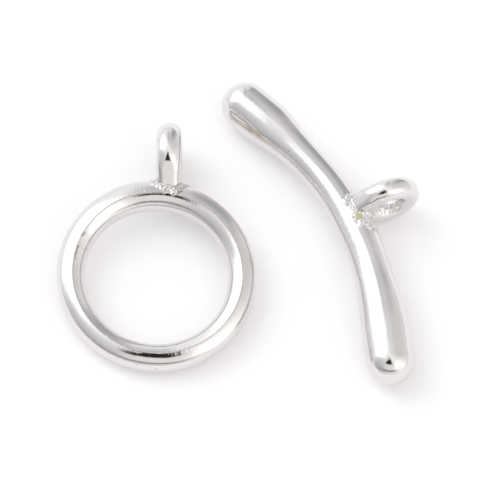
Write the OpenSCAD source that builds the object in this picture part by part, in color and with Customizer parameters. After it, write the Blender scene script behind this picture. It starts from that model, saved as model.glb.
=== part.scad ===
// Toggle clasp: a ring with an eye, and a bowed bar with an eye that turns to pass through the ring.
// Both halves lie apart on the surface z = 0, each on its own three or two resting points.
// The origin is the middle of the floor that the two halves cover together.

/* [Ring] */
// Width of the ring over its wire
ring_od = 15; // [13:0.1:19]
// Thickness of the ring's wire
ring_wire = 2.15; // [1.6:0.05:2.6]
// Width of the ring's eye along its hole
ring_eye_w = 1.9; // [1.7:0.05:2.4]
// How deep the eye is sunk into the ring's wire
ring_eye_sink = 0.4; // [0.2:0.05:0.7]
// How far the eye is twisted round its stem from square
ring_eye_twist = 4.2; // [-10:0.1:10]

/* [Bar] */
// Length of the bar over its rounded ends
bar_l = 27.3; // [24:0.1:32]
// Thickness of the bar at its middle
bar_mid_d = 2.7; // [2.2:0.05:3.1]
// Thickness of the bar at its rounded ends
bar_end_d = 3.65; // [3.2:0.05:4.2]
// Height of the bar's bow between its ends and its middle
bar_bow = 2.67; // [1.5:0.01:3.5]
// Width of the bar's eye along its hole
bar_eye_w = 1.7; // [1.7:0.05:2.2]
// How deep the eye is sunk into the bar
bar_eye_sink = 0.78; // [0.4:0.02:1]
// How far the eye stands from the bar's middle, towards the near end
bar_eye_shift = 0.28; // [-1:0.02:1]
// How far the eye is twisted round its stem from square
bar_eye_twist = -8.2; // [-12:0.1:12]

/* [Eyes] */
// Width over each eye
eye_od = 5.1; // [4.6:0.1:6]
// Bore of the hole through each eye
eye_hole = 1.9; // [1.4:0.05:2.4]
// Depth of the straight land that is drilled into the round wall of the hole
eye_land = 0.05; // [0.02:0.01:0.1]

/* [Solder] */
// Thickness of the solder collar where it runs onto the ring or the bar
solder_d = 2.5; // [2:0.05:3]
// Thickness of the solder collar where it runs up the eye
solder_neck_d = 1.75; // [1.4:0.05:2]
// How far the collar stands up the eye from the metal that it joins
solder_h = 0.5; // [0.3:0.05:0.7]

/* [Layout] */
// Turn of the ring on the table
ring_turn = -5.4; // [-45:0.1:45]
// Turn of the bar on the table
bar_turn = -63; // [-90:0.1:-40]
// Place of the bar's middle to the right of the ring's centre
bar_right = 12.05; // [11.5:0.05:25]
// Place of the bar's middle behind the ring's centre
bar_behind = 3.58; // [-5:0.02:8]

/* [Hidden] */
$fn = 72;

// Swelling of the bar from its middle to its end thickness, from the far end to the near end
AT = 0;
SWELL = 1;
BAR_ROWS = [
    // share of the half length, share of the swelling
    [-1.0,  1.00],
    [-0.8,  0.86],
    [-0.6,  0.10],
    [-0.4, -0.19],
    [-0.2, -0.15],
    [ 0.0,  0.02],
    [ 0.2,  0.13],
    [ 0.4,  0.25],
    [ 0.6,  0.67],
    [ 0.8,  1.03],
    [ 1.0,  1.00],
];
// Share of the half length over which the bar's bend is rounded
bend_share = 1.19;

// Faces round the bar, sections along it and sections round each end
bar_sides = 40;
bar_steps = 48;
cap_steps = 8;

eye_wall = (eye_od - eye_hole) / 2 + eye_land;
eye_mid_r = (eye_od - eye_wall) / 2;

ring_mid_r = (ring_od - ring_wire) / 2;
ring_eye_y = ring_od / 2 + eye_od / 2 - ring_eye_sink;
ring_lean = asin((eye_od - ring_wire) / 2 / (ring_mid_r + ring_eye_y));

bar_half_l = (bar_l - bar_end_d) / 2;
bar_eye_y = bar_bow + bar_mid_d / 2 + eye_od / 2 - bar_eye_sink;
bar_lean = asin((eye_od - bar_end_d) / 2 / bar_eye_y);

// Floor that the two halves cover, measured from the ring's centre
ring_reach_x = ring_mid_r * norm([cos(ring_turn), sin(ring_turn) * cos(ring_lean)]) + ring_wire / 2;
bar_eye_normal_x = cos(bar_turn) * cos(bar_eye_twist)
                 - sin(bar_turn) * sin(bar_eye_twist) * cos(bar_lean);
bar_eye_x = bar_right + bar_eye_shift * cos(bar_turn) - bar_eye_y * sin(bar_turn) * cos(bar_lean);
bar_reach_x = bar_eye_x + eye_mid_r * sqrt(1 - bar_eye_normal_x * bar_eye_normal_x) + eye_wall / 2;
bar_reach_y = bar_half_l * abs(sin(bar_turn)) + bar_end_d / 2;
floor_mid = [(bar_reach_x - ring_reach_x) / 2, bar_behind, 0];

// Smooth curve through four even values, with f from 0 at b to 1 at c
function curve(a, b, c, d, f) =
    b + f * (c - a) / 2
      + f * f * (2 * a - 5 * b + 4 * c - d) / 2
      + f * f * f * (3 * (b - c) + d - a) / 2;

// Thickness of the bar at the share t of its half length
function bar_d(t) =
    let (last = len(BAR_ROWS) - 1,
         place = (t - BAR_ROWS[0][AT]) / (BAR_ROWS[1][AT] - BAR_ROWS[0][AT]),
         i = min(floor(place), last - 1),
         swell = curve(BAR_ROWS[max(i - 1, 0)][SWELL], BAR_ROWS[i][SWELL],
                       BAR_ROWS[i + 1][SWELL], BAR_ROWS[min(i + 2, last)][SWELL], place - i))
    bar_mid_d + (bar_end_d - bar_mid_d) * swell;

// Centre line of the bar, and the slope of its bow
function bend(t) = norm([t, bend_share]) - bend_share;
function bar_centre(t) = [bar_half_l * t, bar_bow * (1 - bend(t) / bend(1)), 0];
function bar_slope(t) = atan(-bar_bow / bar_half_l * t / norm([t, bend_share]) / bend(1));

// One section of the bar: a ring of points square to the slope
function section(centre, slope, r) =
    [for (i = [0 : bar_sides - 1])
        let (a = 360 * i / bar_sides)
        centre + r * [-sin(slope) * cos(a), cos(slope) * cos(a), sin(a)]];

// Sections of a rounded end, from its rim at step 0 towards its tip
function cap_section(way, step) =
    let (turn = 90 * step / cap_steps, slope = bar_slope(way), r = bar_end_d / 2)
    section(bar_centre(way) + way * r * sin(turn) * [cos(slope), sin(slope), 0], slope, r * cos(turn));

function cap_tip(way) =
    bar_centre(way) + way * bar_end_d / 2 * [cos(bar_slope(way)), sin(bar_slope(way)), 0];

// The bar is one closed skin of even sections between its two tips
module bar() {
    sections = concat(
        [for (k = [cap_steps - 1 : -1 : 1]) cap_section(-1, k)],
        [for (k = [0 : bar_steps])
            let (t = 2 * k / bar_steps - 1) section(bar_centre(t), bar_slope(t), bar_d(t) / 2)],
        [for (k = [1 : cap_steps - 1]) cap_section(1, k)]);
    n = len(sections);
    points = concat([for (s = sections) for (p = s) p], [cap_tip(-1), cap_tip(1)]);
    sides = [for (k = [0 : n - 2]) for (i = [0 : bar_sides - 1])
        let (a = k * bar_sides + i, b = k * bar_sides + (i + 1) % bar_sides)
        [a, a + bar_sides, b + bar_sides, b]];
    far_tip = [for (i = [0 : bar_sides - 1]) [n * bar_sides, i, (i + 1) % bar_sides]];
    near_tip = [for (i = [0 : bar_sides - 1])
        let (a = (n - 1) * bar_sides)
        [n * bar_sides + 1, a + (i + 1) % bar_sides, a + i]];
    polyhedron(points, concat(sides, far_tip, near_tip), convexity = 4);
}

module ring_wire_round() {
    rotate_extrude() translate([ring_mid_r, 0]) circle(d = ring_wire);
}

// An eye of wire that is a little wider than it is thick, with its hole along X
module eye(width) {
    rotate([0, 90, 0]) rotate_extrude() translate([eye_mid_r, 0]) {
        for (side = [-1, 1]) translate([0, side * (width - eye_wall) / 2]) circle(d = eye_wall);
        square([eye_wall, width - eye_wall], center = true);
    }
}

module eye_bore() {
    rotate([0, 90, 0]) cylinder(d = eye_hole, h = 2 * eye_od, center = true);
}

// A collar of solder from the metal's surface at y = 0 out to the eye
module solder() {
    rotate([-90, 0, 0]) translate([0, 0, -solder_h])
        cylinder(d1 = solder_d, d2 = solder_neck_d, h = 2 * solder_h);
}

module ring_half() {
    color("gainsboro")
        translate([0, 0, ring_wire / 2 + ring_mid_r * sin(ring_lean)] - floor_mid)
        rotate([ring_lean, 0, ring_turn]) {
            ring_wire_round();
            translate([0, ring_od / 2, 0]) solder();
            translate([0, ring_eye_y, 0]) rotate([0, 0, ring_eye_twist]) difference() {
                eye(ring_eye_w);
                eye_bore();
            }
        }
}

module bar_half() {
    color("silver")
        translate([bar_right, bar_behind, bar_end_d / 2] - floor_mid)
        rotate([bar_lean, 0, bar_turn]) {
            bar();
            translate([bar_eye_shift, bar_bow + bar_mid_d / 2, 0]) solder();
            translate([bar_eye_shift, bar_eye_y, 0]) rotate([0, 0, bar_eye_twist]) difference() {
                eye(bar_eye_w);
                eye_bore();
            }
        }
}

ring_half();
bar_half();
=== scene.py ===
"""Toggle clasp: a cast silver-plated ring and bowed bar, each with a soldered eye, lying on a white table."""

import math

import bmesh
import bpy
from mathutils import Matrix, Vector, noise


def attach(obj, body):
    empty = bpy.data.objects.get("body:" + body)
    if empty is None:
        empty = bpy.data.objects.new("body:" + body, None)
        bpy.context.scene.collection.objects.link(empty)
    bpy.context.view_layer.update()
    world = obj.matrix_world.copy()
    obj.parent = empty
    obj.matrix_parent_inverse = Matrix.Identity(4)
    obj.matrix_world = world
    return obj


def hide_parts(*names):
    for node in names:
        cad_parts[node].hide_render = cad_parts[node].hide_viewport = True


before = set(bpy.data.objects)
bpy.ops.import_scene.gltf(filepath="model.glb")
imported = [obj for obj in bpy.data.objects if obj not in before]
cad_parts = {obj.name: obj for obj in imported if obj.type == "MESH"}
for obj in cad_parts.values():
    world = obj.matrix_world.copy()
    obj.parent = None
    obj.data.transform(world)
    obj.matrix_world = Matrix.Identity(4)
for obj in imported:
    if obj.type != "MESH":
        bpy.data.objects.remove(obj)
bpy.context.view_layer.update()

MM = 0.001
TURN = 2 * math.pi
UP = Vector((0, 0, 1))

# Sizes of the clasp in metres, as the part's source has them
RING_OD = 15 * MM
RING_WIRE = 2.15 * MM
RING_EYE_W = 1.9 * MM
RING_EYE_SINK = 0.4 * MM
RING_EYE_TWIST = math.radians(4.2)
RING_TURN = math.radians(-5.4)
BAR_L = 27.3 * MM
BAR_MID_D = 2.7 * MM
BAR_END_D = 3.65 * MM
BAR_BOW = 2.67 * MM
BAR_BEND = 1.19
BAR_EYE_W = 1.7 * MM
BAR_EYE_SINK = 0.78 * MM
BAR_EYE_SHIFT = 0.28 * MM
BAR_EYE_TWIST = math.radians(-8.2)
BAR_TURN = math.radians(-63)
EYE_OD = 5.1 * MM
EYE_HOLE = 1.9 * MM
RING_CENTRE = Vector((-6.1265, -3.58, 1.6645)) * MM
BAR_CENTRE = Vector((5.9235, 0, 1.825)) * MM
# Swelling of the bar from its middle to its end thickness, from the far end to the near end
BAR_SWELL = (1.00, 0.86, 0.10, -0.19, -0.15, 0.02, 0.13, 0.25, 0.67, 1.03, 1.00)

EYE_WALL = (EYE_OD - EYE_HOLE) / 2
EYE_MID_R = (EYE_OD - EYE_WALL) / 2
RING_MID_R = (RING_OD - RING_WIRE) / 2
RING_EYE_Y = (RING_OD + EYE_OD) / 2 - RING_EYE_SINK
RING_LEAN = math.asin((EYE_OD - RING_WIRE) / 2 / (RING_MID_R + RING_EYE_Y))
BAR_HALF_L = (BAR_L - BAR_END_D) / 2
BAR_EYE_Y = BAR_BOW + (BAR_MID_D + EYE_OD) / 2 - BAR_EYE_SINK
BAR_LEAN = math.asin((EYE_OD - BAR_END_D) / 2 / BAR_EYE_Y)


def placed(centre, turn, lean):
    """Where a half lies: turned on the table and leaning on its eye."""
    return Matrix.Translation(centre) @ Matrix.Rotation(turn, 4, "Z") @ Matrix.Rotation(lean, 4, "X")


RING_PLACE = placed(RING_CENTRE, RING_TURN, RING_LEAN)
BAR_PLACE = placed(BAR_CENTRE, BAR_TURN, BAR_LEAN)
RING_EYE_PLACE = Matrix.Translation((0, RING_EYE_Y, 0)) @ Matrix.Rotation(RING_EYE_TWIST, 4, "Z")
BAR_EYE_PLACE = Matrix.Translation((BAR_EYE_SHIFT, BAR_EYE_Y, 0)) @ Matrix.Rotation(BAR_EYE_TWIST, 4, "Z")


def spot(x, y, z):
    """A point or a size that is given in millimetres."""
    return Vector((x, y, z)) * MM


def clipped(value, low=0, high=1):
    return min(max(value, low), high)


def shown(name, data):
    """A new object at the origin, linked into the scene."""
    made = bpy.data.objects.new(name, data)
    bpy.context.scene.collection.objects.link(made)
    return made


def as_object(name, shape, finishes):
    """An object with the shape for its mesh, and its list of finishes."""
    mesh = bpy.data.meshes.new(name)
    shape.to_mesh(mesh)
    shape.free()
    for finish in finishes:
        mesh.materials.append(finish)
    return shown(name, mesh)


# Camera at the photograph's angle, looking along +Y and down
CAMERA_HEIGHT = math.radians(65.5)
CAMERA_DISTANCE = 0.4
CAMERA_AIM = spot(0.13, 0.195, 0)
VIEW_WIDTH = 36.23 * MM
SENSOR_WIDTH = 36
NEAREST_SEEN = 0.01
FARTHEST_SEEN = 10

lens = bpy.data.cameras.new("camera")
lens.sensor_width = SENSOR_WIDTH
lens.lens = SENSOR_WIDTH * CAMERA_DISTANCE / VIEW_WIDTH
lens.clip_start = NEAREST_SEEN
lens.clip_end = FARTHEST_SEEN
camera = shown("camera", lens)
away = Vector((0, -math.cos(CAMERA_HEIGHT), math.sin(CAMERA_HEIGHT)))
camera.location = CAMERA_AIM + CAMERA_DISTANCE * away
camera.rotation_euler = (math.pi / 2 - CAMERA_HEIGHT, 0, 0)
bpy.context.scene.camera = camera
bpy.context.scene.view_settings.view_transform = "Standard"


class Wire:
    """A node's output, on which sums are written as plain Python."""

    def __init__(self, tree, output=None):
        self.tree = tree
        self.output = output

    def node(self, kind, settings=None, sockets=None, output=0):
        """Adds a node: its settings first, then the values or wires of its sockets."""
        made = self.tree.nodes.new(kind)
        for name, value in (settings or {}).items():
            setattr(made, name, value)
        for name, value in (sockets or {}).items():
            if isinstance(value, Wire):
                self.tree.links.new(value.output, made.inputs[name])
            else:
                made.inputs[name].default_value = value
        return Wire(self.tree, made.outputs[output]) if made.outputs else None

    def maths(self, operation, first, second=0.0):
        return self.node("ShaderNodeMath", {"operation": operation}, {0: first, 1: second})

    def __add__(self, other):
        return self.maths("ADD", self, other)

    def __radd__(self, other):
        return self.maths("ADD", other, self)

    def __sub__(self, other):
        return self.maths("SUBTRACT", self, other)

    def __rsub__(self, other):
        return self.maths("SUBTRACT", other, self)

    def __mul__(self, other):
        return self.maths("MULTIPLY", self, other)

    def __rmul__(self, other):
        return self.maths("MULTIPLY", other, self)

    def __truediv__(self, other):
        return self.maths("DIVIDE", self, other)

    def __rtruediv__(self, other):
        return self.maths("DIVIDE", other, self)

    def __pow__(self, other):
        return self.maths("POWER", self, other)

    def __rpow__(self, other):
        return self.maths("POWER", other, self)

    def size(self):
        return self.maths("ABSOLUTE", self)

    def wave(self):
        return self.maths("COSINE", self)

    def below(self, limit):
        return self.maths("MINIMUM", self, limit)

    def above(self, limit):
        return self.maths("MAXIMUM", self, limit)

    def over(self, x):
        """The angle from +X of a point with this height and that x."""
        return self.maths("ARCTAN2", self, x)

    def ease(self, start, end):
        """0 at start and 1 at end, with a soft step between."""
        return self.node(
            "ShaderNodeMapRange",
            {"interpolation_type": "SMOOTHSTEP"},
            {"Value": self, "From Min": start, "From Max": end},
        )

    def vectors(self, operation, other):
        return self.node("ShaderNodeVectorMath", {"operation": operation}, {0: self, 1: other}, "Value")

    def along(self, direction):
        """This vector's length along a direction."""
        return self.vectors("DOT_PRODUCT", direction)

    def distance(self, point):
        """How far this place is from a point."""
        return self.vectors("DISTANCE", point)

    def clouds(self, scale, detail):
        """Soft noise at this place, from 0 to 1."""
        return self.node("ShaderNodeTexNoise", sockets={"Vector": self, "Scale": scale, "Detail": detail})

    def cells(self, scale, feature="F1", output=0):
        """How far this place is from the middle of its random cell, or that cell's colour."""
        sockets = {"Vector": self, "Scale": scale}
        return self.node("ShaderNodeTexVoronoi", {"feature": feature}, sockets, output)

    def tint(self, base, colour):
        """The base colour, turned to another colour where this mask is 1."""
        return self.node("ShaderNodeMix", {"data_type": "RGBA"}, {0: self, 6: base, 7: colour}, 2)

    def relief(self, depth):
        """The normals of a surface on which this height stands for that depth."""
        return self.node("ShaderNodeBump", sockets={"Height": self, "Strength": 1.0, "Distance": depth})


def colour(red, green, blue):
    return (red, green, blue, 1)


def node_sheet(owner):
    """The emptied node sheet of a material or world."""
    owner.use_nodes = True
    owner.node_tree.nodes.clear()
    return Wire(owner.node_tree)


def new_material(name):
    """A material without nodes yet, its node sheet, and the place on the object that its patterns read."""
    material = bpy.data.materials.new(name)
    paper = node_sheet(material)
    return material, paper, paper.node("ShaderNodeTexCoord", output="Object")


def surfaced(paper, sockets):
    """Ends a material in its shader."""
    shade = paper.node("ShaderNodeBsdfPrincipled", sockets=sockets)
    paper.node("ShaderNodeOutputMaterial", sockets={"Surface": shade})


# Studio: a white tent, with the lamps, grey gaps and camera that the plating mirrors.
# Each row: its name, its middle's angle from straight up and bearing from +X, its half width and half height,
# all in degrees, and its softness, taper and colour
STUDIO = (
    ("overhead", 8, 130, 24, 24, 0.9, 0, colour(1.35, 1.35, 1.35)),
    ("left softbox", 42, 152, 28, 37, 0.5, 0, colour(1.22, 1.22, 1.22)),
    ("left lamp", 44, 148, 16, 20, 0.8, 0, colour(4.0, 4.0, 4.0)),
    ("right softbox", 54, 320, 33, 40, 0.8, 0, colour(1.18, 1.15, 1.12)),
    ("right lamp", 52, 320, 18, 24, 0.9, 0, colour(1.7, 1.65, 1.6)),
    ("left gap", 92, 212, 33, 56, 0.9, 0, colour(0.54, 0.53, 0.54)),
    ("right gap", 50, 40, 36, 38, 0.6, 0, colour(0.78, 0.76, 0.75)),
    ("back gap", 76, 62, 12, 28, 0.7, 0, colour(0.46, 0.46, 0.48)),
    ("back strip", 46, 91, 6, 22, 0.8, 0, colour(0.65, 0.65, 0.67)),
    ("front room", 46, 266, 21, 20, 0.4, 0, colour(0.94, 0.91, 0.89)),
    ("front gap", 72, 262, 35, 6.0, 0.7, 0, colour(0.33, 0.31, 0.31)),
    ("camera", 25, 260, 11.5, 14, 0.2, 0.65, colour(0.02, 0.02, 0.02)),
)
TENT = colour(1.08, 1.07, 1.09)
# A patch is cut off between these heights over its own horizon, so that it doesn't show behind as well
CUT_OFF = (-0.02, 0.05)
# The least share of its width that a tapered patch keeps
NARROWEST = 0.05
# The darker band just over the table's edge: its height, where it fades out and is full, and its strength
HORIZON = colour(0.54, 0.50, 0.48)
HORIZON_HEIGHT = 0.035
HORIZON_EDGE = (0.045, 0.01)
HORIZON_STRENGTH = 0.6


def bearing_vector(from_up, bearing):
    """The direction at an angle from straight up and a bearing from +X, both in degrees."""
    flat = math.sin(math.radians(from_up))
    turn = math.radians(bearing)
    return Vector((flat * math.cos(turn), flat * math.sin(turn), math.cos(math.radians(from_up))))


def studio():
    """The white tent as the world, painted by direction with patches that are rounded oblongs."""
    world = bpy.data.worlds.new("studio")
    paper = node_sheet(world)
    looking = paper.node("ShaderNodeTexCoord", output="Generated")
    tone = TENT
    for _, from_up, bearing, half_w, half_h, soft, taper, paint in STUDIO:
        middle = bearing_vector(from_up, bearing)
        across = bearing_vector(90, bearing + 90)
        along = bearing_vector(from_up + 90, bearing)
        high = looking.along(along) / math.sin(math.radians(half_h))
        wide = looking.along(across) / math.sin(math.radians(half_w))
        if taper:
            wide = wide / (high * taper + 1).above(NARROWEST)
        reach = (wide * wide * wide * wide + high * high * high * high) ** 0.25
        ahead = looking.along(middle).ease(*CUT_OFF)
        mask = reach.ease(1 + soft, 1 - soft) * ahead
        tone = mask.tint(tone, paint)
    height = looking.along(UP)
    band = (height - HORIZON_HEIGHT).size().ease(*HORIZON_EDGE)
    tone = (band * HORIZON_STRENGTH).tint(tone, HORIZON)
    shade = paper.node("ShaderNodeBackground", sockets={"Color": tone, "Strength": 1.0})
    paper.node("ShaderNodeOutputWorld", sockets={"Surface": shade})
    bpy.context.scene.world = world


TABLE_SIZE = 0.5
TABLE_WHITE = colour(0.915, 0.908, 0.915)
TABLE_WHITER = colour(0.925, 0.920, 0.925)
TABLE_ROUGH = 0.75
TABLE_SHINE = 0.2
TABLE_GLOW = colour(1.0, 0.99, 0.995)
TABLE_LIGHT = 0.15
# Its faint grain: the scale and detail of the pattern, and the heights between which the white changes
TABLE_GRAIN = (900.0, 3.0)
TABLE_CHANGE = (0.2, 0.8)


def table():
    """The plain white table that both halves lie on, lit a little from below as for a catalogue."""
    paint, paper, place = new_material("table_white")
    surfaced(paper, {
        "Base Color": place.clouds(*TABLE_GRAIN).ease(*TABLE_CHANGE).tint(TABLE_WHITE, TABLE_WHITER),
        "Roughness": TABLE_ROUGH,
        "Specular IOR Level": TABLE_SHINE,
        "Emission Color": TABLE_GLOW,
        "Emission Strength": TABLE_LIGHT,
    })
    shape = bmesh.new()
    bmesh.ops.create_grid(shape, x_segments=2, y_segments=2, size=TABLE_SIZE)
    as_object("table", shape, [paint])


# The ring is a little out of round, and its wire is drawn up to a soft ridge that wanders along its top.
# All are shares or radians: how much the ring is stretched and which way, then how the ridge leans and
# wanders over the wire, and how steep, how rounded and how wide it is
STRETCH = 0.014
STRETCH_TURN = 2.39
RIDGE_LEAN = -0.07
RIDGE_COS = 0.106
RIDGE_SIN = -0.035
RIDGE_SLOPE = 0.24
RIDGE_ROUND = 0.05
RIDGE_REACH = 0.45
# The wire's thickness as shares of its nominal one: its mean, its gain on the side by the eye, and its loss
# on two opposite sides, with the turn from +X of each
WIRE_MEAN = 1.01
THICK_SIDE = 0.046
THICK_SIDE_TURN = 1.46
THIN_SIDES = 0.035
THIN_SIDES_TURN = 3.41


def ring_stretch(turn):
    """The ring's slight departure from a circle, by the turn round it from +X."""
    return 1 + STRETCH * math.cos(2 * (turn - STRETCH_TURN))


def ridge_lift(turn, wire_turn):
    """How far the wire's skin is drawn up towards its ridge, as a share of its radius."""
    off = wire_turn - RIDGE_LEAN - RIDGE_COS * math.cos(turn) - RIDGE_SIN * math.sin(turn)
    full = RIDGE_SLOPE * RIDGE_REACH * math.sqrt(math.pi) / 2
    return full * math.erfc(math.hypot(off, RIDGE_ROUND) / RIDGE_REACH)


def wire_swell(turn):
    """The wire's thickness round the ring, as a share of its nominal one."""
    gain = THICK_SIDE * math.cos(turn - THICK_SIDE_TURN)
    return WIRE_MEAN + gain - THIN_SIDES * math.cos(2 * (turn - THIN_SIDES_TURN))


def ring_bearings(place):
    """The way round the ring of a place on it, and its turn round the wire, outwards from the ridge."""
    home = RING_PLACE.inverted()
    x, y, z = (place.along(home[i].to_3d()) + home[i].w for i in range(3))
    turn = y.over(x)
    stretch = (turn * 2 + 2 * (RING_TURN - STRETCH_TURN)).wave() * STRETCH + 1
    flat = (x * x + y * y) ** 0.5 - stretch * RING_MID_R
    ridge = turn.wave() * RIDGE_COS + (turn - math.pi / 2).wave() * RIDGE_SIN + RIDGE_LEAN
    return turn * RING_MID_R, flat.over(z) - ridge


def bar_bearings(place):
    """The way along the bar of a place on it, and its place across."""
    home = BAR_PLACE.inverted()
    x, y = (place.along(home[i].to_3d()) + home[i].w for i in range(2))
    return x, y / BAR_MID_D


def streak(place, start, end):
    """How far a place is from the line between two points."""
    ahead = (end - start).normalized()
    run = place.along(ahead) - start.dot(ahead)
    past = run - run.above(0.0).below((end - start).length)
    away = place.distance(start)
    return (away * away - run * run + past * past).above(0.0) ** 0.5


# A coloured streak in shares of its radius, which is a stain on the ring and a painted reflection on the bar:
# how far its edge wanders, where it is full, and the edge and the whole of its paler middle
STREAK_WANDER = 2.4
STREAK_FULL = 0.3
PALE_EDGE = 0.7
PALE_FULL = 0.2


def with_stains_and_reflections(tone, place, stains_and_reflections, warp):
    """The tone with its stains and painted reflections, each a crooked streak, some with a paler middle."""
    for start, end, radius, hollow, strength, paint in stains_and_reflections:
        away = streak(place, start, end) + (warp - 0.5) * (radius * STREAK_WANDER)
        mask = away.ease(radius, STREAK_FULL * radius)
        mask = mask - away.ease(PALE_EDGE * radius, PALE_FULL * radius) * hollow
        tone = (mask * strength).tint(tone, paint)
    return tone


SILVER_BRIGHT = colour(0.77, 0.76, 0.76)
SILVER_DULL = colour(0.735, 0.725, 0.72)
SEAM = colour(0.55, 0.53, 0.52)
# The dark grey that is painted into each pit as its shade
PIT_SHADE = colour(0.25, 0.24, 0.23)
# The scale and detail of the plating's patterns, and the scale of its pits
WAVES = (1500.0, 2.0)
GRAIN = (9000.0, 2.0)
SMUDGES = (420.0, 4.0)
RIPPLES = (5000.0, 1.0)
SEAM_BREAKS = (1900.0, 2.0)
STREAK_EDGES = (2600.0, 3.0)
PITS = 1500.0
# How much the casting ripples drift from straight across the wire
LAY_STRETCH = 0.00004
# Where each mark begins and where it is full. The seam and the filed band along it go by the turn from the
# ridge, a pit by the distance from its middle, and the others by the height of their pattern
SEAM_EDGE = (0.09, 0.02)
SEAM_GAPS = (0.2, 0.5)
FILED_EDGE = (0.5, 0.1)
PIT_EDGE = (0.12, 0.05)
PIT_RARITY = (0.955, 0.965)
SMUDGE_DULL = (0.45, 0.8)
SMUDGE_MATT = (0.4, 0.8)
# How rough the marks are over the plating's polish, how dark the painted shade in a pit is, and how high each
# mark stands as a share of the plating's depth
SMUDGE_ROUGH = 0.05
PIT_ROUGH = 0.3
SEAM_ROUGH = 0.15
PIT_SHADE_STRENGTH = 0.8
WAVE_HEIGHT = 0.8
FILED_HEIGHT = 0.6
GRAIN_HEIGHT = 0.2
PIT_HEIGHT = 2.0
SEAM_HEIGHT = 1.0
PLATING_DEPTH = 0.00001


def plating(name, bearings, lay, polish, seam, stains_and_reflections, specks):
    """Bright plating with casting ripples across the wire, smudges, pits and specks darkened with painted
    shade, stains, and painted reflections.

    lay is how deep the ripples are, polish its least roughness, and seam how clearly the mould's seam shows.
    """
    metal, paper, place = new_material(name)
    run, across = bearings(place)
    waves = place.clouds(*WAVES)
    grain = place.clouds(*GRAIN)
    smudges = place.clouds(*SMUDGES)
    laid = paper.node("ShaderNodeCombineXYZ", sockets={"X": run, "Y": across * LAY_STRETCH})
    ripples = laid.clouds(*RIPPLES)

    few = place.cells(PITS, output="Color").along((1, 0, 0)).ease(*PIT_RARITY)
    hollow = place.cells(PITS).ease(*PIT_EDGE) * few
    for centre, radius in specks:
        ragged = place.distance(centre) + (grain - 0.5) * radius
        hollow = hollow.above(ragged.ease(radius, 0.5 * radius))

    off_seam = across.size()
    line = off_seam.ease(*SEAM_EDGE) * place.clouds(*SEAM_BREAKS).ease(*SEAM_GAPS) * seam
    filed = off_seam.ease(*FILED_EDGE) * seam
    tone = smudges.ease(*SMUDGE_DULL).tint(SILVER_BRIGHT, SILVER_DULL)
    # Stains, and on the bar a painted reflection of the horizon, are tinted over the plating here
    tone = with_stains_and_reflections(line.tint(tone, SEAM), place, stains_and_reflections, place.clouds(*STREAK_EDGES))
    # Each pit's hollow is darkened with painted shade
    tone = (hollow * PIT_SHADE_STRENGTH).tint(tone, PIT_SHADE)
    gloss = polish + smudges.ease(*SMUDGE_MATT) * SMUDGE_ROUGH + hollow * PIT_ROUGH + line * SEAM_ROUGH
    height = waves * WAVE_HEIGHT + ripples * (filed * FILED_HEIGHT + lay) + grain * GRAIN_HEIGHT
    height = height - hollow * PIT_HEIGHT + line * SEAM_HEIGHT
    surfaced(paper, {
        "Base Color": tone,
        "Metallic": 1.0,
        "Roughness": gloss,
        "Normal": height.relief(PLATING_DEPTH),
    })
    return metal


SOLDER_CRUMBS = 7500.0
SOLDER_GRAIN = (9000.0, 3.0)
# Where the painted shade between crumbs begins and is full, on the way from the middle of a crumb
SHADE_BETWEEN_CRUMBS = (0.35, 0.75)
SOLDER_ROUGH = 0.18
SOLDER_GRAIN_ROUGH = 0.25
SOLDER_DEPTH = 0.00003


def solder_metal(name, bright, deep):
    """Crumbly plated solder, bright on its crumbs, with painted shade in the crevices between them."""
    metal, paper, place = new_material(name)
    between = place.cells(SOLDER_CRUMBS, "SMOOTH_F1")
    grain = place.clouds(*SOLDER_GRAIN)
    surfaced(paper, {
        # Painted shade: the deep colour darkens the crevices between the crumbs
        "Base Color": between.ease(*SHADE_BETWEEN_CRUMBS).tint(bright, deep),
        "Metallic": 1.0,
        "Roughness": SOLDER_ROUGH + grain * SOLDER_GRAIN_ROUGH,
        "Normal": (grain - between).relief(SOLDER_DEPTH),
    })
    return metal


FLUX_DARK = colour(0.50, 0.455, 0.31)
FLUX_PALE = colour(0.64, 0.59, 0.42)
FLUX_MOTTLE = (7000.0, 3.0)
FLUX_CHANGE = (0.35, 0.65)
FLUX_ROUGH = 0.3
FLUX_MOTTLE_ROUGH = 0.3
FLUX_DEPTH = 0.00002


def dried_flux(name):
    """Flux that has dried dull and yellowish beside the solder."""
    crust, paper, place = new_material(name)
    mottle = place.clouds(*FLUX_MOTTLE)
    surfaced(paper, {
        "Base Color": mottle.ease(*FLUX_CHANGE).tint(FLUX_DARK, FLUX_PALE),
        "Roughness": FLUX_ROUGH + mottle * FLUX_MOTTLE_ROUGH,
        "Normal": mottle.relief(FLUX_DEPTH),
    })
    return crust


# Places of the other finishes in a piece's list, after its plating
SOLDER = 1
FLUX = 2

# How finely each shape is divided: its sides and steps, or how often its ball is
RING_MESH = (160, 320)
EYE_MESH = (96, 240)
BAR_MESH = (72, 300)
SOLDER_MESH = 6
FLUX_MESH = 4
# Points that are closer than this are one
TOGETHER = 1e-7


def closed(shape, place):
    """Merges doubles, turns the faces outwards and puts the shape in its place."""
    bmesh.ops.remove_doubles(shape, verts=shape.verts, dist=TOGETHER)
    bmesh.ops.recalc_face_normals(shape, faces=shape.faces)
    bmesh.ops.transform(shape, matrix=place, verts=shape.verts)


def made_of(shape, material):
    for face in shape.faces:
        face.material_index = material


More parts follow.
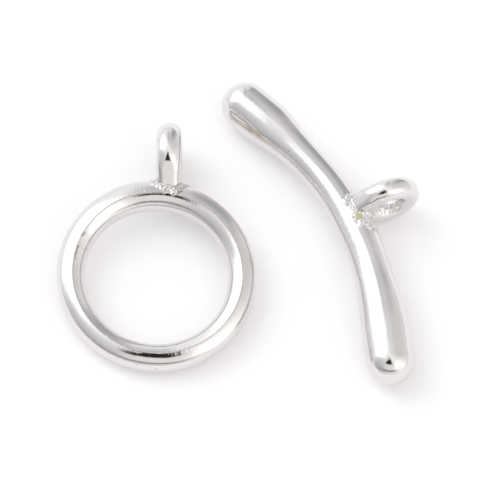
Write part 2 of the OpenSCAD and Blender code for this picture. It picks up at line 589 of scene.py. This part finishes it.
def spun(half_h, half_w, radius, divisions):
    """An oval wire, so high and wide, that is bent into a closed ring about Z."""
    sides, steps = divisions
    shape = bmesh.new()
    stand = Matrix.Translation((radius, 0, 0)) @ Matrix.Rotation(math.pi / 2, 4, "X")
    bmesh.ops.create_circle(
        shape, segments=sides, radius=1,
        matrix=stand @ Matrix.Diagonal((half_w, half_h, 1, 1)),
    )
    bmesh.ops.spin(
        shape, geom=shape.verts[:] + shape.edges[:], cent=(0, 0, 0), axis=(0, 0, 1), dvec=(0, 0, 0),
        angle=TURN, steps=steps, use_merge=True, use_duplicate=False,
    )
    return shape


# Unevenness of the cast skins: how deep in millimetres, and how fine
RING_SKIN = 0.012
RING_SKIN_SCALE = 700
EYE_SKIN = 0.015
EYE_SKIN_SCALE = 600
BAR_SKIN = 0.02
BAR_SKIN_SCALE = 500
BAR_DENTS = 0.07
BAR_DENTS_SCALE = 240


def ring_wire():
    """The cast ring, a little out of round and thicker near its eye."""
    shape = spun(RING_WIRE / 2, RING_WIRE / 2, RING_MID_R, RING_MESH)
    for vert in shape.verts:
        turn = math.atan2(vert.co.y, vert.co.x)
        out = Vector((math.cos(turn), math.sin(turn), 0))
        world_turn = turn + RING_TURN
        middle = out * RING_MID_R
        from_middle = vert.co - middle
        wire_turn = math.atan2(from_middle.dot(out), from_middle.z)
        from_middle *= wire_swell(world_turn) * (1 + ridge_lift(turn, wire_turn))
        vert.co = middle * ring_stretch(world_turn) + from_middle
        vert.co += from_middle.normalized() * RING_SKIN * MM * noise.noise(vert.co * RING_SKIN_SCALE)
    closed(shape, RING_PLACE)
    return shape


# How closely round crumbs crowd together
CRUMB_CROWD = 1.15


def crumbs(point, kinds):
    """How high crumbs stand at a point, heaped from kinds that each have a size and a height."""
    heap = 0
    for size, height in kinds:
        from_crumb = noise.voronoi(point / size)[0][0]
        heap += height * (1 - min(from_crumb * CRUMB_CROWD, 1))
    return heap


# Where the eye's round rim runs into the flat flank of its foot, as an angle from the foot
FOOT_FLANK = math.radians(53)
# How far round from the foot its face is pressed flat, and how flat
FACET_START = math.radians(71)
FACET_BLEND = math.radians(27)
FACET_FLAT = 0.5
# Crumbs of solder in the hole: their kinds, how deep into the wall they go, and how far up from the foot
HOLE_CRUMBS = ((0.20 * MM, 0.10 * MM), (0.10 * MM, 0.06 * MM))
CRUMB_BAND = EYE_WALL * 0.3
CRUMB_RISE = 0.6
# The same for the solder's colour, which ends in a ragged edge
SOLDERED_RISE = 0.35
SOLDERED_FRAY = 0.6
SOLDERED_FRAY_SCALE = 1500


def off_hole(point):
    """How far a point of an eye is from the wall of its hole."""
    return math.hypot(point.y, point.z) - EYE_HOLE / 2


def from_foot(point):
    """How far round its eye a point is from the foot, as an angle."""
    return math.atan2(abs(point.z), -point.y)


def press_flat(vert, width):
    """Presses the outer face of an eye flat towards its foot."""
    far_out = math.hypot(vert.co.y, vert.co.z)
    rise = (far_out - EYE_MID_R) / (EYE_WALL / 2)
    facing = clipped((FACET_START - from_foot(vert.co)) / FACET_BLEND)
    if rise > 0 and facing > 0:
        power = 1 / (1 + FACET_FLAT * facing * facing * (3 - 2 * facing))
        wide = abs(vert.co.x) / (width / 2)
        vert.co.x = math.copysign(wide ** power * width / 2, vert.co.x)
        grow = (EYE_MID_R + rise ** power * EYE_WALL / 2) / far_out
        vert.co.y *= grow
        vert.co.z *= grow


def taper_foot(vert):
    """Draws the rim of an eye out to two straight flanks that meet at its foot."""
    angle = from_foot(vert.co)
    if angle < FOOT_FLANK:
        rim = clipped(off_hole(vert.co) / EYE_WALL)
        grow = 1 + (1 / math.cos(FOOT_FLANK - angle) - 1) * rim
        vert.co.y *= grow
        vert.co.z *= grow


def eye(width, place, crumbly):
    """A small eye of oval wire with its hole along X and its foot at -Y, and crumbs inside near the foot."""
    shape = spun(width / 2, EYE_WALL / 2, EYE_MID_R, EYE_MESH)
    bmesh.ops.rotate(shape, verts=shape.verts, cent=(0, 0, 0), matrix=Matrix.Rotation(math.pi / 2, 3, "Y"))
    for face in shape.faces:
        middle = face.calc_center_median()
        soldered = SOLDERED_RISE - middle.y / EYE_MID_R - off_hole(middle) / CRUMB_BAND
        if soldered + SOLDERED_FRAY * noise.noise(middle * SOLDERED_FRAY_SCALE) > 0:
            face.material_index = SOLDER
    for vert in shape.verts:
        press_flat(vert, width)
        inside = 1 - clipped(off_hole(vert.co) / CRUMB_BAND)
        near_foot = clipped(CRUMB_RISE - vert.co.y / EYE_MID_R)
        lumps = crumbs(vert.co, HOLE_CRUMBS)
        vert.co += vert.co.normalized() * EYE_SKIN * MM * noise.noise(vert.co * EYE_SKIN_SCALE)
        vert.co -= Vector((0, vert.co.y, vert.co.z)).normalized() * lumps * inside * near_foot * crumbly
        taper_foot(vert)
    closed(shape, place)
    return shape


def swell(share):
    """The bar's thickness at a share of its half length, on a smooth curve through its table."""
    last = len(BAR_SWELL) - 1
    step = (share + 1) / 2 * last
    i = min(int(step), last - 1)
    f = step - i
    a, b, c, d = (BAR_SWELL[clipped(k, 0, last)] for k in (i - 1, i, i + 1, i + 2))
    level = b + f * (c - a) / 2 + f * f * (2 * a - 5 * b + 4 * c - d) / 2
    level += f ** 3 * (3 * (b - c) + d - a) / 2
    return BAR_MID_D + (BAR_END_D - BAR_MID_D) * level


def bend(share):
    """How far the bow has fallen from its middle at a share of the bar's half length, unscaled."""
    return math.hypot(share, BAR_BEND) - BAR_BEND


def bar_line(share):
    """The bar's centre line and its direction at a share of its half length."""
    centre = Vector((BAR_HALF_L * share, BAR_BOW * (1 - bend(share) / bend(1)), 0))
    rise = -BAR_BOW * share / math.hypot(share, BAR_BEND) / bend(1)
    return centre, Vector((BAR_HALF_L, rise, 0)).normalized()


# The share of the ball, at each of its poles, that makes a rounded end of the bar
CAP_SHARE = 0.09


def bar():
    """The bowed bar: a ball drawn out along the bow, with a rounded thick end at each side."""
    sides, rings = BAR_MESH
    shape = bmesh.new()
    bmesh.ops.create_uvsphere(shape, u_segments=sides, v_segments=rings, radius=1)
    for vert in shape.verts:
        fall = math.acos(clipped(vert.co.z, -1)) / math.pi
        round_turn = math.atan2(vert.co.y, vert.co.x)
        share = 1 - 2 * clipped((fall - CAP_SHARE) / (1 - 2 * CAP_SHARE))
        cap = 0.0
        if fall < CAP_SHARE:
            cap = (1 - fall / CAP_SHARE) * math.pi / 2
        if fall > 1 - CAP_SHARE:
            cap = -(1 - (1 - fall) / CAP_SHARE) * math.pi / 2
        centre, ahead = bar_line(share)
        side = Vector((-ahead.y, ahead.x, 0))
        across = side * math.cos(round_turn) + UP * math.sin(round_turn)
        out = across * math.cos(cap) + ahead * math.sin(cap)
        vert.co = centre + out * swell(share) / 2
        skin = BAR_SKIN * noise.noise(vert.co * BAR_SKIN_SCALE)
        dents = BAR_DENTS * (1 - share * share) * noise.noise(vert.co * BAR_DENTS_SCALE)
        vert.co += out * (skin + dents) * MM
    closed(shape, BAR_PLACE)
    return shape


def outside_ring(point):
    """How far a point lies outside the ring's wire."""
    turn = math.atan2(point.y, point.x)
    flat = math.hypot(point.x, point.y) - RING_MID_R * ring_stretch(turn + RING_TURN)
    lift = ridge_lift(turn, math.atan2(flat, point.z))
    return math.hypot(flat, point.z) - RING_WIRE / 2 * wire_swell(turn + RING_TURN) * (1 + lift)


def outside_bar(point):
    """How far a point lies outside the bar, measured across it."""
    share = clipped(point.x / BAR_HALF_L, -1)
    centre, ahead = bar_line(share)
    gap = point - centre
    gap -= ahead * gap.dot(ahead)
    return gap.length - swell(share) / 2


def outside_eye(point, width):
    """How far a point lies outside an eye whose hole is along Z."""
    half_h = width / 2
    half_w = EYE_WALL / 2
    flat = math.hypot(point.x, point.y) - EYE_MID_R
    return (math.hypot(flat / half_w, point.z / half_h) - 1) * min(half_h, half_w)


def blended(first, second, fillet):
    """The smaller of two distances, with a fillet where they are alike."""
    mix = max(fillet - abs(first - second), 0) / fillet
    return min(first, second) - mix * mix * fillet / 4


# How far up the eye's foot the solder has run, its thickness, and the fillet that it fills
SOLDER_CLIMB = 0.16 * MM
SOLDER_THICK = 0.04 * MM
FILLET = 0.28 * MM
# The solder's edge: how far it reaches in shares of its spread, how ragged it is, and how steeply the skin
# and the crumbs rise from it
SOLDER_REACH = 1.1
EDGE_FRAY = 0.45
EDGE_FRAY_SCALE = 2100
SKIN_RISE = 3
CRUMBS_RISE = 4
FOOT_CRUMBS = ((0.15 * MM, 0.07 * MM), (0.08 * MM, 0.05 * MM))
# The skin is looked for within this many spreads, by halving this often
SEARCH_REACH = 1.5
HALVINGS = 14


def solder(body, eye_place, eye_width, middle, spread, place):
    """Solder that has run from the eye's foot onto the metal: a ball drawn out to just above both skins."""
    shape = bmesh.new()
    bmesh.ops.create_icosphere(shape, subdivisions=SOLDER_MESH, radius=1)
    into_eye = eye_place.inverted()
    turn_over = Matrix.Rotation(-math.pi / 2, 4, "Y")

    def outside(point):
        skin = blended(body(point), outside_eye(turn_over @ into_eye @ point, eye_width), FILLET)
        away = point - middle
        gap = Vector(away[i] / spread[i] for i in range(3)).length
        climb = max(body(point) - SOLDER_CLIMB, 0) / SOLDER_CLIMB
        edge = SOLDER_REACH - gap - climb + EDGE_FRAY * noise.noise(point * EDGE_FRAY_SCALE)
        cover = SOLDER_THICK * clipped(edge * SKIN_RISE, -1)
        return skin - cover - crumbs(point, FOOT_CRUMBS) * clipped(edge * CRUMBS_RISE)

    for vert in shape.verts:
        out = vert.co.normalized()
        near = 0.0
        far = max(spread) * SEARCH_REACH
        for _ in range(HALVINGS):
            half = (near + far) / 2
            if outside(middle + out * half) < 0:
                near = half
            else:
                far = half
        vert.co = middle + out * near
    closed(shape, place)
    made_of(shape, SOLDER)
    return shape


def flux_drop(centre, facing, half_width, half_height):
    """A flattened drop that sits on a surface and faces away from it."""
    shape = bmesh.new()
    bmesh.ops.create_icosphere(shape, subdivisions=FLUX_MESH, radius=1)
    turned = facing.to_track_quat("Z", "Y").to_matrix().to_4x4()
    flat = Matrix.Diagonal((half_width, half_width, half_height, 1))
    closed(shape, Matrix.Translation(centre) @ turned @ flat)
    made_of(shape, FLUX)
    return shape


def joined(name, shapes, finishes):
    """One solid piece from overlapping closed shapes."""
    parts = [as_object(f"{name}_{i}", shape, finishes) for i, shape in enumerate(shapes)]
    piece = parts[0]
    for other in parts[1:]:
        union = piece.modifiers.new("union", "BOOLEAN")
        union.operation = "UNION"
        union.solver = "EXACT"
        union.object = other
    bpy.context.view_layer.update()
    done = piece.evaluated_get(bpy.context.evaluated_depsgraph_get())
    mesh = bpy.data.meshes.new_from_object(done)
    for part in parts:
        bpy.data.objects.remove(part)
    shape = bmesh.new()
    shape.from_mesh(mesh)
    bmesh.ops.dissolve_degenerate(shape, dist=TOGETHER, edges=shape.edges)
    bmesh.ops.triangulate(shape, faces=[f for f in shape.faces if len(f.verts) > 4])
    for face in shape.faces:
        face.smooth = True
    shape.to_mesh(mesh)
    shape.free()
    mesh.name = name
    return shown(name, mesh)


BROWN = colour(0.62, 0.42, 0.33)
UMBER = colour(0.38, 0.28, 0.24)
REFLECTED_GOLD = colour(0.80, 0.60, 0.42)
# Each streak, stains and painted reflections alike: where it starts and ends, its radius, how pale its middle
# is, its strength and colour
RING_STAINS = (
    (spot(-11.42, -0.85, 2.85), spot(-11.56, -1.55, 2.72), 0.42 * MM, 0.6, 0.4, BROWN),
    (spot(-11.98, -1.66, 2.93), spot(-12.20, -2.60, 2.84), 0.15 * MM, 0.0, 0.8, UMBER),
    (spot(-11.74, -0.82, 3.02), spot(-11.48, -0.58, 3.00), 0.16 * MM, 0.0, 0.7, UMBER),
)
# The bar's streaks are painted reflection, not stains: a gold line and a dark bead where its lower side
# mirrors the table's far horizon
BAR_PAINTED_REFLECTIONS = (
    (spot(0.00, 8.92, 2.72), spot(2.10, 7.14, 2.75), 0.28 * MM, 0.0, 0.42, REFLECTED_GOLD),
    (spot(0.60, 8.30, 2.70), spot(1.00, 7.95, 2.72), 0.14 * MM, 0.0, 0.4, UMBER),
)
# Each single pit, darkened with painted shade: its middle and radius
RING_PITS = (
    (spot(-13.06, -5.43, 2.22), 0.09 * MM),
    (spot(-12.22, -7.26, 2.12), 0.07 * MM),
    (spot(-7.51, -10.77, 1.62), 0.08 * MM),
    (spot(-6.10, -11.00, 1.40), 0.07 * MM),
    (spot(-5.43, -11.02, 1.06), 0.07 * MM),
)
BAR_PITS = (
    (spot(3.77, 6.15, 3.08), 0.10 * MM),
    (spot(4.44, 5.61, 3.15), 0.06 * MM),
    (spot(-0.84, 10.54, 3.01), 0.08 * MM),
)

ring_silver = plating(
    "ring_plating", ring_bearings, lay=0.35, polish=0.08, seam=0.9, stains_and_reflections=RING_STAINS, specks=RING_PITS,
)
bar_silver = plating(
    "bar_plating", bar_bearings, lay=0.85, polish=0.10, seam=0.0, stains_and_reflections=BAR_PAINTED_REFLECTIONS, specks=BAR_PITS,
)
# Each solder's deep colour is the painted shade between its crumbs
ring_solder = solder_metal("ring_solder", bright=colour(0.79, 0.78, 0.77), deep=colour(0.26, 0.25, 0.23))
bar_solder = solder_metal("bar_solder", bright=colour(0.92, 0.91, 0.91), deep=colour(0.56, 0.55, 0.54))
bar_flux = dried_flux("bar_flux")

ring_half = joined(
    "ring_piece",
    (
        ring_wire(),
        eye(RING_EYE_W, RING_PLACE @ RING_EYE_PLACE, crumbly=0.6),
        solder(
            outside_ring, RING_EYE_PLACE, RING_EYE_W,
            middle=spot(0.3, 7.0, 0), spread=spot(1.35, 0.78, 2.5), place=RING_PLACE,
        ),
    ),
    (ring_silver, ring_solder),
)
bar_half = joined(
    "bar_piece",
    (
        bar(),
        eye(BAR_EYE_W, BAR_PLACE @ BAR_EYE_PLACE, crumbly=1.0),
        solder(
            outside_bar, BAR_EYE_PLACE, BAR_EYE_W,
            middle=spot(0.6, 3.6, 0), spread=spot(1.85, 1.35, 1.9), place=BAR_PLACE,
        ),
        flux_drop(
            spot(9.03, 0.52, 3.56), Vector((0.25, 0.1, 0.96)),
            half_width=0.29 * MM, half_height=0.15 * MM,
        ),
    ),
    (bar_silver, bar_solder, bar_flux),
)

for piece, node, slot in (
    (ring_half, "ring_half", "ring_silver"),
    (bar_half, "bar_half", "bar_silver"),
):
    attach(piece, "root")
    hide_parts(node)

studio()
table()
